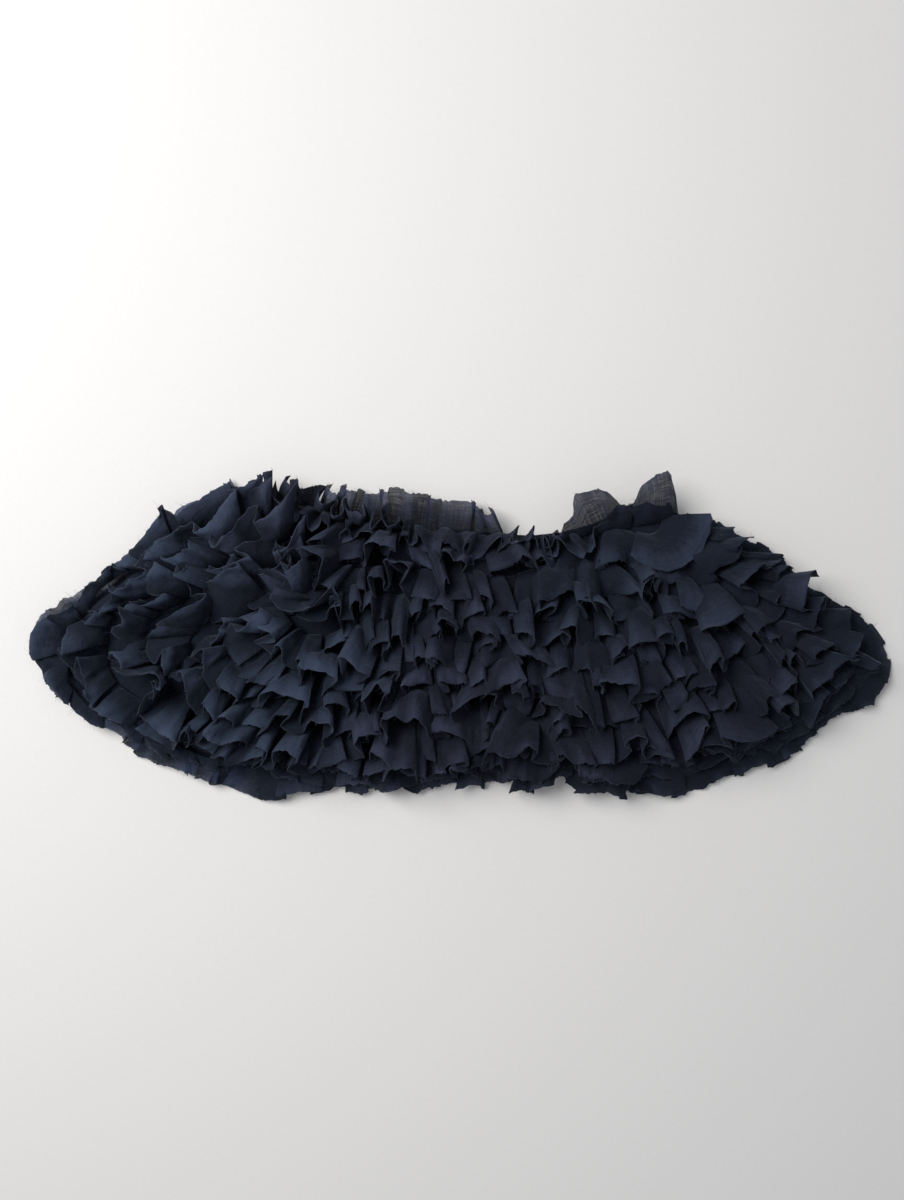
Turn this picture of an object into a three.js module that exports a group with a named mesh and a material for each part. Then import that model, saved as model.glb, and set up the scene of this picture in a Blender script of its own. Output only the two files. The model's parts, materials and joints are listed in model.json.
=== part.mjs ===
// A ruffled collar, a small shoulder cape, laid flat with its front half on its back half.
// Millimetres. X runs from shoulder tip to shoulder tip, Y from the hem to the neck, Z up from
// the surface that the collar lies on. The origin is under the middle of its outline.
import * as THREE from "three";

// The cloth and its rows. A ruffle is a pleated strip, sewn down along one edge, with a raw free edge.
const CLOTH_WALL = 1;
const YOKE_WALL = 1.2;
const SEAM_GAP = 0.3;
const ROW_COUNT = 11;
const ROW_PITCH = 11.8;
const PLEAT_PITCH = 26;
const RUFFLE_REACH = 20;
const RUFFLE_RISE = 15;
const PLEAT_HALF_HEIGHT = 4.1;
const GATHER_HALF_HEIGHT = 0.4;

// Where the sewn lines of the front run, from the outermost row inwards.
const NECK_LEFT = new THREE.Vector2(-103, 76);
const NECK_RIGHT = new THREE.Vector2(116, 67);
const TIP_LEFT = new THREE.Vector2(-223, -5);
const TIP_RIGHT = new THREE.Vector2(225, -14);
const HEM_SEAM_Y = -70;
const SLOPE_BULGE = 10;
const END_BULGE = 9;
const ARM_ROWS = 6;
const TURN_STEP = new THREE.Vector2(24, 0.8);
const HEM_LEFT_X = -100;
const HEM_RIGHT_X = 105;
const NECKWARD_SHIFT_X = 6;

// The short rows by the neck start beside the ends of the long ones, nearest the hem first.
const SHORT_ROW_STARTS = [
  { x: -92, y: 4 },
  { x: -76, y: 15 },
  { x: -69, y: 27 },
  { x: -62, y: 41 },
  { x: -57, y: 57 },
];
const SHORT_START_LENGTH = 28;

// The bends of a row: how far along the turn at the left tip its points lie, in quarter turns,
// and where its last stretch to the right slope bends.
const TIP_BENDS = [0.33, 0.67];
const LAST_BEND = { x: 0.62, y: 0.3 };

// The flaps at the ends of the rows swing along the slopes, over this length of the seam.
const END_LENGTH = 40;
const END_SWING = 0.45;
const SHORT_START_SWING = 0.2;
const FLAP_UNEVENNESS = 0.06;

// The pile of hidden layers under the front: its edge, and how far the layers step back from it.
const BED_EDGE_HEIGHT = 6.5;
const BED_CROWN = 4.5;
const BED_HALF_WIDTH = 245;
const BED_HALF_DEPTH = 98;
const LAYER_STEP = 2;
const LAYER_HEIGHT = 2;
const SPINE_HALF_LENGTH = 185;
const SPINE_Y = -6;
const RIM_POINTS = 60;
const YOKE_INSET = 5;
const DOME_INSETS = [21, 34, 47, 60];

const RIM = [
  { x: -229, upper: 1, lower: -13 },
  { x: -216, upper: 14, lower: -31 },
  { x: -195, upper: 29, lower: -47 },
  { x: -168, upper: 50, lower: -61 },
  { x: -143, upper: 67, lower: -71 },
  { x: -118, upper: 76, lower: -78 },
  { x: -98, upper: 79, lower: -80 },
  { x: -72, upper: 67, lower: -78 },
  { x: -42, upper: 59, lower: -76 },
  { x: 0, upper: 59, lower: -75 },
  { x: 48, upper: 56, lower: -75 },
  { x: 84, upper: 65, lower: -77 },
  { x: 106, upper: 75, lower: -79 },
  { x: 128, upper: 67, lower: -78 },
  { x: 152, upper: 57, lower: -73 },
  { x: 177, upper: 41, lower: -62 },
  { x: 202, upper: 20, lower: -48 },
  { x: 219, upper: 4, lower: -35 },
  { x: 229, upper: -7, lower: -23 },
];

// One pleat, fold by fold: its place along the sewn edge and along the free edge as shares of the
// pitch, and its lift as a share of the pleat height. The face is a flat crown, and the cloth
// falls steeply from its edge to the valley.
const PLEAT_SECTION = [
  { sewn: 0.24, free: 0.07, lift: 0.84 },
  { sewn: 0.37, free: 0.36, lift: 1 },
  { sewn: 0.5, free: 0.67, lift: 0.86 },
  { sewn: 0.56, free: 0.69, lift: -0.1 },
  { sewn: 0.7, free: 0.74, lift: -0.82 },
  { sewn: 1, free: 0.95, lift: -0.76 },
];

// How far each ruffle stands out and up, its strip's free edge against its sewn edge.
const FRONT_LAY = [
  { reach: 15.5, rise: 6.5, height: 3 },
  { reach: 18, rise: 11.5, height: 3.8 },
];
const FULL_LAY = { reach: RUFFLE_REACH, rise: RUFFLE_RISE, height: PLEAT_HALF_HEIGHT };
const NECK_ROWS = 2;
const NECK_LAY = { reach: 19, rise: 17.5, height: PLEAT_HALF_HEIGHT };

const navyCotton = new THREE.MeshStandardMaterial({ color: 0x1b1f2b, roughness: 0.92, metalness: 0 });
const navyCottonLayers = new THREE.MeshStandardMaterial({ color: 0x14171f, roughness: 0.95, metalness: 0 });
const sheerCotton = new THREE.MeshStandardMaterial({ color: 0x2c2f3c, roughness: 0.9, metalness: 0 });

// A repeatable number from -1 to 1 for the nth pleat of a row.
function vary(row, pleat) {
  const wave = Math.sin(row * 12.9898 + pleat * 78.233) * 43758.5453;
  return 2 * (wave - Math.floor(wave)) - 1;
}

// Height of the pile of hidden layers, a low dome.
function bedHeight(x, y) {
  const outward = (x / BED_HALF_WIDTH) ** 2 + ((y - SPINE_Y) / BED_HALF_DEPTH) ** 2;
  return BED_EDGE_HEIGHT + BED_CROWN * Math.max(0, 1 - outward);
}

function seatHeight(x, y) {
  return bedHeight(x, y) + SEAM_GAP + YOKE_WALL + SEAM_GAP;
}

// The rim as a closed ring of points, from the left tip along the hem and back by the neck.
function rimPoints() {
  const lower = RIM.map((station) => new THREE.Vector3(station.x, station.lower, 0));
  const upper = RIM.map((station) => new THREE.Vector3(station.x, station.upper, 0)).reverse();
  const curve = new THREE.CatmullRomCurve3([...lower, ...upper], true, "centripetal");
  return curve.getSpacedPoints(RIM_POINTS).slice(0, RIM_POINTS);
}

// The rim moved inwards, towards a spine that runs from tip to tip.
function insetRing(rim, inset) {
  return rim.map((point) => {
    const spine = new THREE.Vector3(
      THREE.MathUtils.clamp(point.x, -SPINE_HALF_LENGTH, SPINE_HALF_LENGTH), SPINE_Y, 0);
    const towards = spine.clone().sub(point);
    const step = Math.min(inset, towards.length() * (0.5 + inset / 200));
    return point.clone().addScaledVector(towards.normalize(), step);
  });
}

function raised(ring, heightAt) {
  return ring.map((point) => new THREE.Vector3(point.x, point.y, heightAt(point.x, point.y)));
}

// A closed body from rings of equal length: the first and last rings are filled in.
function bodyFromRings(rings) {
  const count = rings[0].length;
  const points = rings.flat();
  const faces = [];
  for (let ring = 0; ring + 1 < rings.length; ring++) {
    for (let i = 0; i < count; i++) {
      const a = ring * count + i;
      const b = ring * count + ((i + 1) % count);
      faces.push(a, b, b + count, a, b + count, a + count);
    }
  }
  const fill = (ring, flip) => {
    const outline = rings[ring].map((point) => new THREE.Vector2(point.x, point.y));
    for (const [a, b, c] of THREE.ShapeUtils.triangulateShape(outline, [])) {
      const at = [a, flip ? c : b, flip ? b : c].map((i) => ring * count + i);
      faces.push(...at);
    }
  };
  fill(0, true);
  fill(rings.length - 1, false);
  return meshGeometry(points, faces);
}

function meshGeometry(points, faces) {
  const geometry = new THREE.BufferGeometry().setFromPoints(points);
  geometry.setIndex(faces);
  geometry.computeVertexNormals();
  return geometry;
}

// The hidden layers: flat below, with the edges of three layers stepping back to the dome.
function hiddenLayers() {
  const rim = rimPoints();
  const level = (height) => () => height;
  const rings = [
    raised(insetRing(rim, 1), level(0)),
    raised(rim, level(0.8)),
  ];
  for (let layer = 1; layer <= 2; layer++) {
    const height = layer * LAYER_HEIGHT;
    rings.push(raised(insetRing(rim, (layer - 1) * LAYER_STEP), level(height - 0.3)));
    rings.push(raised(insetRing(rim, layer * LAYER_STEP), level(height)));
  }
  rings.push(raised(insetRing(rim, 2 * LAYER_STEP), bedHeight));
  for (const inset of DOME_INSETS) {
    rings.push(raised(insetRing(rim, inset), bedHeight));
  }
  return bodyFromRings(rings);
}

// The front yoke: the cut base cloth that the front rows are sewn to, lying on the pile.
function frontYoke() {
  const rim = rimPoints();
  const under = (x, y) => bedHeight(x, y) + SEAM_GAP;
  const over = (x, y) => under(x, y) + YOKE_WALL;
  const insets = [YOKE_INSET, ...DOME_INSETS];
  const below = insets.map((inset) => raised(insetRing(rim, inset), under)).reverse();
  const above = insets.map((inset) => raised(insetRing(rim, inset), over));
  return bodyFromRings([...below, ...above]);
}

// The sewn line of a front row. inner counts rows from the outermost, which is 0.
function frontSeam(inner) {
  const y = HEM_SEAM_Y + inner * ROW_PITCH;
  const up = inner / (ROW_COUNT - 1);
  const rightSlope = NECK_RIGHT.clone().sub(TIP_RIGHT).normalize();
  const end = TIP_RIGHT.clone().lerp(NECK_RIGHT, up)
    .addScaledVector(new THREE.Vector2(rightSlope.y, -rightSlope.x), END_BULGE * Math.sin(Math.PI * up));
  const hemRight = new THREE.Vector2(HEM_RIGHT_X - inner * NECKWARD_SHIFT_X, y);
  const points = [];
  if (inner < ARM_ROWS) {
    const slope = TIP_LEFT.clone().sub(NECK_LEFT).normalize();
    const inward = new THREE.Vector2(-slope.y, slope.x);
    const start = NECK_LEFT.clone().addScaledVector(inward, inner * ROW_PITCH);
    const turn = TIP_LEFT.clone().addScaledVector(TURN_STEP, inner);
    const bulge = SLOPE_BULGE * (1 - inner / ARM_ROWS);
    const hemLeft = new THREE.Vector2(HEM_LEFT_X + inner * 3, y);
    const middle = start.clone().lerp(turn, 0.5).addScaledVector(inward, -bulge);
    points.push(start, middle, turn);
    for (const bend of TIP_BENDS) {
      const quarter = bend * Math.PI * 0.5;
      points.push(new THREE.Vector2(
        hemLeft.x + (turn.x - hemLeft.x) * Math.cos(quarter),
        turn.y + (hemLeft.y - turn.y) * Math.sin(quarter)));
    }
    points.push(hemLeft);
  } else {
    const start = SHORT_ROW_STARTS[inner - ARM_ROWS];
    points.push(new THREE.Vector2(start.x, start.y), new THREE.Vector2(start.x + SHORT_START_LENGTH, y + 1));
  }
  const rise = new THREE.Vector2(
    hemRight.x + LAST_BEND.x * (end.x - hemRight.x),
    hemRight.y + LAST_BEND.y * (end.y - hemRight.y));
  points.push(new THREE.Vector2((points.at(-1).x + hemRight.x) / 2, y), hemRight, rise, end);
  return points;
}

// A pleated strip as a closed wall. seam is its sewn line, and the flaps fall to its right.
// turnStart and turnEnd swing the flaps at the two ends along the line, in radians.
function ruffle({ seed, seam, lay, pleats, seat, turnStart = 0, turnEnd = 0 }) {
  const flat = seam.map((point) => new THREE.Vector3(point.x, point.y, 0));
  const curve = new THREE.CatmullRomCurve3(flat, false, "centripetal");
  curve.arcLengthDivisions = 800;
  const length = curve.getLength();
  const count = pleats ?? Math.round(length / PLEAT_PITCH);
  const pitch = length / (count + PLEAT_SECTION[2].sewn - PLEAT_SECTION[0].sewn);
  const stations = [];
  for (let pleat = 0; pleat <= count; pleat++) {
    const section = pleat < count ? PLEAT_SECTION : PLEAT_SECTION.slice(0, 3);
    for (const fold of section) {
      stations.push({ pleat, ...fold });
    }
  }
  const first = PLEAT_SECTION[0].sewn;
  const middles = stations.map(({ pleat, sewn, free, lift }) => {
    const sewnAt = (pleat + sewn - first) * pitch;
    const share = THREE.MathUtils.clamp(sewnAt / length, 0, 1);
    const here = typeof lay === "function" ? lay(share) : lay;
    const root = curve.getPointAt(share);
    const tangent = curve.getTangentAt(share);
    const outward = new THREE.Vector3(tangent.y, -tangent.x, 0);
    const nearStart = Math.max(0, 1 - sewnAt / END_LENGTH);
    const nearEnd = Math.max(0, 1 - (length - sewnAt) / END_LENGTH);
    const swing = turnEnd * nearEnd - turnStart * nearStart;
    outward.applyAxisAngle(new THREE.Vector3(0, 0, 1), swing);
    const longer = 1 + FLAP_UNEVENNESS * vary(seed, pleat);
    const flap = outward.clone().multiplyScalar(here.reach * longer);
    flap.z = here.rise * longer;
    const up = new THREE.Vector3().crossVectors(tangent, flap).normalize();
    if (up.z < 0) up.negate();
    root.z = seat(root.x, root.y) + CLOTH_WALL / 2 + GATHER_HALF_HEIGHT;
    const sewnPoint = root.clone().addScaledVector(up, GATHER_HALF_HEIGHT * lift);
    const freePoint = root.clone().add(flap)
      .addScaledVector(tangent, (free - sewn) * pitch)
      .addScaledVector(up, here.height * lift);
    return { sewnPoint, freePoint };
  });
  const points = [];
  middles.forEach(({ sewnPoint, freePoint }, i) => {
    const before = middles[Math.max(0, i - 1)];
    const after = middles[Math.min(middles.length - 1, i + 1)];
    const down = freePoint.clone().sub(sewnPoint);
    const half = (at) => new THREE.Vector3()
      .crossVectors(after[at].clone().sub(before[at]), down)
      .normalize().multiplyScalar(-CLOTH_WALL / 2);
    const sewnHalf = half("sewnPoint");
    const freeHalf = half("freePoint");
    points.push(
      sewnPoint.clone().add(sewnHalf), freePoint.clone().add(freeHalf),
      freePoint.clone().sub(freeHalf), sewnPoint.clone().sub(sewnHalf));
  });
  return meshGeometry(points, stripFaces(middles.length));
}

// Faces of a strip whose stations are loops of four points. Both faces of the wall are split
// along the same diagonal, so that a twisted stretch keeps its thickness.
function stripFaces(stationCount) {
  const faces = [];
  for (let station = 0; station + 1 < stationCount; station++) {
    for (let side = 0; side < 4; side++) {
      const a = station * 4 + side;
      const b = station * 4 + ((side + 1) % 4);
      if (side < 2) {
        faces.push(a, b, b + 4, a, b + 4, a + 4);
      } else {
        faces.push(a, b, a + 4, b, b + 4, a + 4);
      }
    }
  }
  const last = (stationCount - 1) * 4;
  faces.push(0, 2, 1, 0, 3, 2, last, last + 1, last + 2, last, last + 2, last + 3);
  return faces;
}

// A share between stated sections of a ruffle that changes along its length.
function layAlong(sections) {
  return (share) => {
    const next = Math.max(1, sections.findIndex((section) => section.at >= share));
    const from = sections[next - 1];
    const to = sections[next];
    const part = (share - from.at) / (to.at - from.at);
    const mix = (key) => THREE.MathUtils.lerp(from[key], to[key], part);
    return { reach: mix("reach"), rise: mix("rise"), height: mix("height") };
  };
}

// The neck ruffle of the front stands away from the rows, tallest at the two shoulders.
const FRONT_NECK_SEAM = [
  { x: 108, y: 71 }, { x: 84, y: 60 }, { x: 48, y: 51.5 }, { x: 0, y: 54 },
  { x: -42, y: 57.5 }, { x: -70, y: 65.5 }, { x: -90, y: 75 },
];
const FRONT_NECK_LAY = [
  { at: 0, reach: 20, rise: 12, height: 3.6 },
  { at: 0.14, reach: 15, rise: 13, height: 3.4 },
  { at: 0.3, reach: 3, rise: 16, height: 3 },
  { at: 0.5, reach: 8, rise: 14, height: 3.2 },
  { at: 0.85, reach: 13, rise: 13, height: 3.4 },
  { at: 1, reach: 13, rise: 12, height: 3.4 },
];

// The neck ruffle of the back half shows past the front neckline, low and nearly flat.
const BACK_NECK_SEAM = [
  { x: 26, y: 58.5 }, { x: 0, y: 59 }, { x: -42, y: 61.5 }, { x: -66, y: 67 },
];
const BACK_NECK_LAY = { reach: 15, rise: 4, height: 1.6 };

// The hem ruffle of the back half comes out all round under the front, on the surface.
const BACK_HEM_PLEATS = 20;
const BACK_HEM_GAP = 0.5;
const BACK_HEM_LAY = [
  { at: 0, reach: 11, rise: 2.4, height: 1.2 },
  { at: 0.22, reach: 8.6, rise: 2, height: 1.2 },
  { at: 0.5, reach: 9.5, rise: 2, height: 1.2 },
  { at: 0.78, reach: 8.6, rise: 2, height: 1.2 },
  { at: 1, reach: 11, rise: 2.4, height: 1.2 },
];

// The outer edge of the pile, from the left shoulder round the hem to the right shoulder.
function backHemSeam() {
  const start = RIM.findIndex((station) => station.x > -120);
  const end = RIM.findIndex((station) => station.x > 120);
  const upperLeft = RIM.slice(0, start + 1).reverse().map(({ x, upper }) => ({ x, y: upper }));
  const hem = RIM.map(({ x, lower }) => ({ x, y: lower }));
  const upperRight = RIM.slice(end).reverse().map(({ x, upper }) => ({ x, y: upper }));
  const ring = [...upperLeft, ...hem, ...upperRight];
  return ring.map(({ x, y }) => {
    const spineX = THREE.MathUtils.clamp(x, -SPINE_HALF_LENGTH, SPINE_HALF_LENGTH);
    const outward = new THREE.Vector2(x - spineX, y - SPINE_Y).normalize();
    return new THREE.Vector2(x, y).addScaledVector(outward, BACK_HEM_GAP + CLOTH_WALL);
  });
}

function piece(name, geometry, material) {
  const mesh = new THREE.Mesh(geometry, material);
  mesh.name = name;
  return mesh;
}

const collar = new THREE.Group();
collar.add(piece("back_half_layers", hiddenLayers(), navyCottonLayers));
collar.add(piece("front_yoke", frontYoke(), navyCotton));
for (let row = 1; row <= ROW_COUNT; row++) {
  const inner = ROW_COUNT - row;
  const geometry = ruffle({
    seed: row,
    seam: frontSeam(inner),
    lay: row <= NECK_ROWS ? NECK_LAY : (FRONT_LAY[inner] ?? FULL_LAY),
    seat: seatHeight,
    turnStart: inner < ARM_ROWS ? END_SWING : SHORT_START_SWING,
    turnEnd: END_SWING,
  });
  collar.add(piece(`front_ruffle_${String(row).padStart(2, "0")}`, geometry, navyCotton));
}
collar.add(piece("front_neck_ruffle", ruffle({
  seed: 21, seam: FRONT_NECK_SEAM, lay: layAlong(FRONT_NECK_LAY), pleats: 8, seat: seatHeight,
}), navyCotton));
collar.add(piece("back_neck_ruffle", ruffle({
  seed: 22, seam: BACK_NECK_SEAM, lay: BACK_NECK_LAY, pleats: 4, seat: () => LAYER_HEIGHT,
}), sheerCotton));
collar.add(piece("back_hem_ruffle", ruffle({
  seed: 23, seam: backHemSeam(), lay: layAlong(BACK_HEM_LAY), pleats: BACK_HEM_PLEATS, seat: () => 0.2,
}), sheerCotton));

// The origin goes under the middle of the outline, on the surface.
const outline = new THREE.Box3().setFromObject(collar);
const middle = outline.getCenter(new THREE.Vector3());
for (const mesh of collar.children) {
  mesh.geometry.translate(-middle.x, -middle.y, -outline.min.z);
}

export default collar;
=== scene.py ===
# %% [markdown]
# A ruffled collar: a small shoulder cape of dark navy cotton, laid flat with its front half on its
# back half. The real one is a plain yoke that is hidden under rows of pleated strips, so nearly
# everything that shows here is a pleated strip. The imported model comes first, as a fixed frame.

# %% Load the imported frame
import json
import math

import bpy
import numpy as np
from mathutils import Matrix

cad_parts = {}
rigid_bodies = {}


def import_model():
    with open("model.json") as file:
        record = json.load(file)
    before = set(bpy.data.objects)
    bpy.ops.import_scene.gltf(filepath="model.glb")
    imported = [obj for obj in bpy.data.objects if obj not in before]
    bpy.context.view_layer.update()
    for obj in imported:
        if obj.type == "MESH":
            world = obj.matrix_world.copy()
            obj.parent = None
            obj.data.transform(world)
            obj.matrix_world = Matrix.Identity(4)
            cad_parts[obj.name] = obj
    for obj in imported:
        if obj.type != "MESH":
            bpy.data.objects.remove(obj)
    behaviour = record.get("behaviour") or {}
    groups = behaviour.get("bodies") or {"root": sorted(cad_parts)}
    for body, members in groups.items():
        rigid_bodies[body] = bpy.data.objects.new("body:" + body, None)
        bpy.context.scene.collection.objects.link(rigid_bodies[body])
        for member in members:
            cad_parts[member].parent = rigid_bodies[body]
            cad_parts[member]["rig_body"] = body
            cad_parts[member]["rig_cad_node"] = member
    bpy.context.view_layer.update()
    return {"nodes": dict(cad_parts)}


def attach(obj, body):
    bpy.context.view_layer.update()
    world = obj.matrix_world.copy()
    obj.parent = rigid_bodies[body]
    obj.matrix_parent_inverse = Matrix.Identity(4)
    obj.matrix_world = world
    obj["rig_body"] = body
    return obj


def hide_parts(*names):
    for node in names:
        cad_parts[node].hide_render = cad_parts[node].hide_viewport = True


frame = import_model()
MM = 0.001

# %% [markdown]
# The strips are sewn to the yoke along lines. In the frame the same lines are worked out from the
# same few sizes, in millimetres, so they are worked out again here. A smooth line passes through
# each list of points, and is then cut into even steps, because pleats are laid by length.

# %% Smooth lines
ORIGIN_SHIFT = np.array([-0.43, -1.02])
LINE_STEP = 1.0
DENSE_STEPS = 60


def unit(vectors):
    return vectors / np.linalg.norm(vectors, axis=1)[:, None]


def travelled(line):
    """The distance along a line to each of its points."""
    return np.concatenate([[0], np.cumsum(np.linalg.norm(np.diff(line, axis=0), axis=1))])


def place_on(line, along, distance):
    """Values at some distances along a line, given the distance of each of its points."""
    return np.column_stack([np.interp(distance, along, values) for values in line.T])


def between(low, high, start, end, t):
    """On the way from low at one time to high at another, where it is at the times t."""
    return (end - t) / (end - start) * low + (t - start) / (end - start) * high


def smooth_line(points):
    """Even steps along a centripetal Catmull-Rom line, as an array of points."""
    p = np.array(points, float)
    p = np.vstack([2 * p[0] - p[1], p, 2 * p[-1] - p[-2]])
    dense = []
    for a, b, c, d in zip(p, p[1:], p[2:], p[3:]):
        ta = 0.0
        tb = ta + np.linalg.norm(b - a) ** 0.5
        tc = tb + np.linalg.norm(c - b) ** 0.5
        td = tc + np.linalg.norm(d - c) ** 0.5
        t = np.linspace(tb, tc, DENSE_STEPS, endpoint=False)[:, None]
        ab = between(a, b, ta, tb, t)
        bc = between(b, c, tb, tc, t)
        cd = between(c, d, tc, td, t)
        abc = between(ab, bc, ta, tc, t)
        bcd = between(bc, cd, tb, td, t)
        dense.append(between(abc, bcd, tb, tc, t))
    dense.append(p[-2][None, :])
    line = np.vstack(dense)
    along = travelled(line)
    return place_on(line, along, np.linspace(0, along[-1], int(along[-1] / LINE_STEP)))


print("points on a line of 10 mm:", len(smooth_line([(0, 0), (10, 0)])))

# %% [markdown]
# Eleven rows lie on the front. The six outer ones run down the left arm, round the left tip and
# along the bottom. The five inner ones start beside the neck, where each turns up in a short hook
# so that its flaps cover the starts of the arm rows. All of them end on the right slope.

# %% Sewn lines of the front rows
ROW_COUNT = 11
ROW_PITCH = 11.8
ARM_ROWS = 6
NECK_LEFT = np.array([-103.0, 76.0])
NECK_RIGHT = np.array([116.0, 67.0])
TIP_LEFT = np.array([-223.0, -5.0])
TIP_RIGHT = np.array([225.0, -14.0])
HEM_SEAM_Y = -70
SLOPE_BULGE = 10
END_BULGE = 9
TURN_STEP = np.array([24.0, 0.8])
TIP_BENDS = [0.33, 0.67]
LAST_BEND = np.array([0.62, 0.3])
UPTURN = np.array([6.0, 13.0])
HEM_LEFT_X = -100
HEM_LEFT_SHIFT_X = 3
HEM_RIGHT_X = 105
NECKWARD_SHIFT_X = 6
SHORT_START_LENGTH = 28
SHORT_START_RAISE = 1
SHORT_ROW_STARTS = [(-92, 4), (-76, 15), (-69, 27), (-62, 41), (-57, 57)]
SHORT_ROW_HOOKS = [(-101, 19), (-84, 30), (-76, 41), (-69, 54), (-66, 62)]


def front_seam(inner):
    """The sewn line of a front row. inner counts rows from the outermost, which is 0."""
    y = HEM_SEAM_Y + inner * ROW_PITCH
    up = inner / (ROW_COUNT - 1)
    slope = (NECK_RIGHT - TIP_RIGHT) / np.linalg.norm(NECK_RIGHT - TIP_RIGHT)
    end = TIP_RIGHT + (NECK_RIGHT - TIP_RIGHT) * up
    end = end + np.array([slope[1], -slope[0]]) * END_BULGE * math.sin(math.pi * up)
    hem_right = np.array([HEM_RIGHT_X - inner * NECKWARD_SHIFT_X, y])
    if inner < ARM_ROWS:
        along = (TIP_LEFT - NECK_LEFT) / np.linalg.norm(TIP_LEFT - NECK_LEFT)
        inward = np.array([-along[1], along[0]])
        start = NECK_LEFT + inward * inner * ROW_PITCH
        turn = TIP_LEFT + TURN_STEP * inner
        hem_left = np.array([HEM_LEFT_X + inner * HEM_LEFT_SHIFT_X, y])
        middle = (start + turn) / 2 - inward * SLOPE_BULGE * (1 - inner / ARM_ROWS)
        points = [start, middle, turn]
        for bend in TIP_BENDS:
            quarter = bend * math.pi / 2
            points.append(np.array([
                hem_left[0] + (turn[0] - hem_left[0]) * math.cos(quarter),
                turn[1] + (hem_left[1] - turn[1]) * math.sin(quarter)]))
        points.append(hem_left)
    else:
        start = np.array(SHORT_ROW_STARTS[inner - ARM_ROWS], float)
        hook = np.array(SHORT_ROW_HOOKS[inner - ARM_ROWS], float)
        settled = np.array([start[0] + SHORT_START_LENGTH, y + SHORT_START_RAISE])
        points = [hook, start, settled]
    last = hem_right + LAST_BEND * (end - hem_right)
    points += [np.array([(points[-1][0] + hem_right[0]) / 2, y]), hem_right, last]
    if inner > 1:
        points.append(end - UPTURN)
    points.append(end)
    return smooth_line(points) + ORIGIN_SHIFT


print("hem row:", len(front_seam(0)), "mm, neck row:", len(front_seam(10)), "mm")

# %% [markdown]
# The strips lie on the yoke, and the yoke on the pile of hidden layers, which is a low dome. The
# height of the yoke's top at a place is the same formula as in the frame.

# %% Height of the yoke
BED_EDGE_HEIGHT = 6.5
BED_CROWN = 4.5
BED_HALF_WIDTH = 245
BED_HALF_DEPTH = 98
SPINE_Y = -6
YOKE_TOP = 1.8


def yoke_height(xy):
    place = xy - ORIGIN_SHIFT
    outward = (place[:, 0] / BED_HALF_WIDTH) ** 2 + ((place[:, 1] - SPINE_Y) / BED_HALF_DEPTH) ** 2
    return BED_EDGE_HEIGHT + BED_CROWN * np.maximum(0, 1 - outward) + YOKE_TOP


print("top of the yoke at the middle:", yoke_height(ORIGIN_SHIFT[None]).round(1), "mm")

# %% [markdown]
# The strips are sewn on by hand and thrown about by handling, so their pleats aren't alike. By
# the neck they are small and stand up crumpled, at the lower left they are large and all thrown
# to one side, and on the right slope they all point outwards. Each such region is a row of this
# table, with its middle and how far it spreads, and it fades into its neighbours. The flow is the
# way that the flaps were brushed, the lean is the side on which their fold lies, the saw makes one
# corner of each flap stick out, and the mess is how unlike each other they lie.

# %% Regions of the collar
ZONE_COLUMNS = (
    "x", "y", "spread", "pleat", "reach", "lift", "flow_x", "flow_y", "tilt", "lean", "saw", "mess")
ZONES = {
    "left tip": (-226, -12, 12, 40, 1.25, 0.6, -0.2, -0.2, -0.15, 0.0, 0.0, 0.6),
    "arm end": (-201, 25, 13, 13, 0.40, 0.6, -0.3, -0.6, 0.0, 0.0, 0.0, 0.8),
    "arm edge": (-168, 40, 24, 14, 0.95, 1.1, -0.35, -0.35, 0.0, -0.7, -0.25, 1.3),
    "arm root": (-110, 62, 18, 30, 1.05, 0.90, -0.30, -0.10, -0.05, -0.3, -0.2, 0.6),
    "arm middle": (-125, 28, 20, 14, 1.0, 1.20, -0.55, -0.55, 0.05, 0.0, 0.0, 1.5),
    "arm turn": (-172, -10, 26, 13, 0.80, 0.95, -0.30, -0.50, 0.0, 0.0, 0.0, 3.0),
    "pressed": (-143, 2, 13, 15, 0.90, 0.50, -0.40, -0.90, -0.15, 0.0, 0.0, 1.6),
    "lower left": (-122, -48, 32, 17, 1.08, 1.30, -0.60, 0.0, 0.0, 0.8, 0.0, 1.0),
    "crumpled": (-48, 26, 24, 9.5, 0.95, 1.25, 0.0, 0.0, 0.30, 0.0, 0.0, 1.8),
    "middle": (10, -5, 32, 20, 1.0, 0.95, 0.0, 0.0, -0.05, 0.0, 0.0, 1.3),
    "bottom": (5, -62, 28, 10.5, 1.0, 1.05, 0.0, 0.0, 0.0, 0.0, 0.0, 1.2),
    "shoulder": (98, 50, 18, 17, 1.0, 1.45, 0.0, 0.0, 0.0, 0.0, 0.0, 1.0),
    "shoulder end": (138, 58, 15, 12, 0.95, 1.5, 0.70, 0.25, 0.0, 0.0, 0.0, 1.2),
    "right slope": (188, 24, 22, 15, 1.0, 1.1, 0.55, 0.10, 0.0, 0.3, 0.0, 1.1),
    "right lobe": (140, 2, 28, 12.5, 1.0, 1.2, 0.20, 0.0, 0.0, 0.0, 0.0, 1.6),
    "right tip": (228, -12, 14, 10, 1.05, 0.90, 0.50, 0.10, -0.10, 0.0, 0.0, 1.2),
    "lower right": (120, -55, 24, 23, 1.0, 0.80, 0.10, 0.0, -0.05, 0.0, 0.0, 1.0),
}
EVERYWHERE = (14.0, 1.0, 1.0, 0.0, 0.0, 0.0, 0.0, 0.0, 1.4)
EVERYWHERE_WEIGHT = 0.25
print(len(ZONES), "regions, each with", ", ".join(ZONE_COLUMNS))


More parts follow.
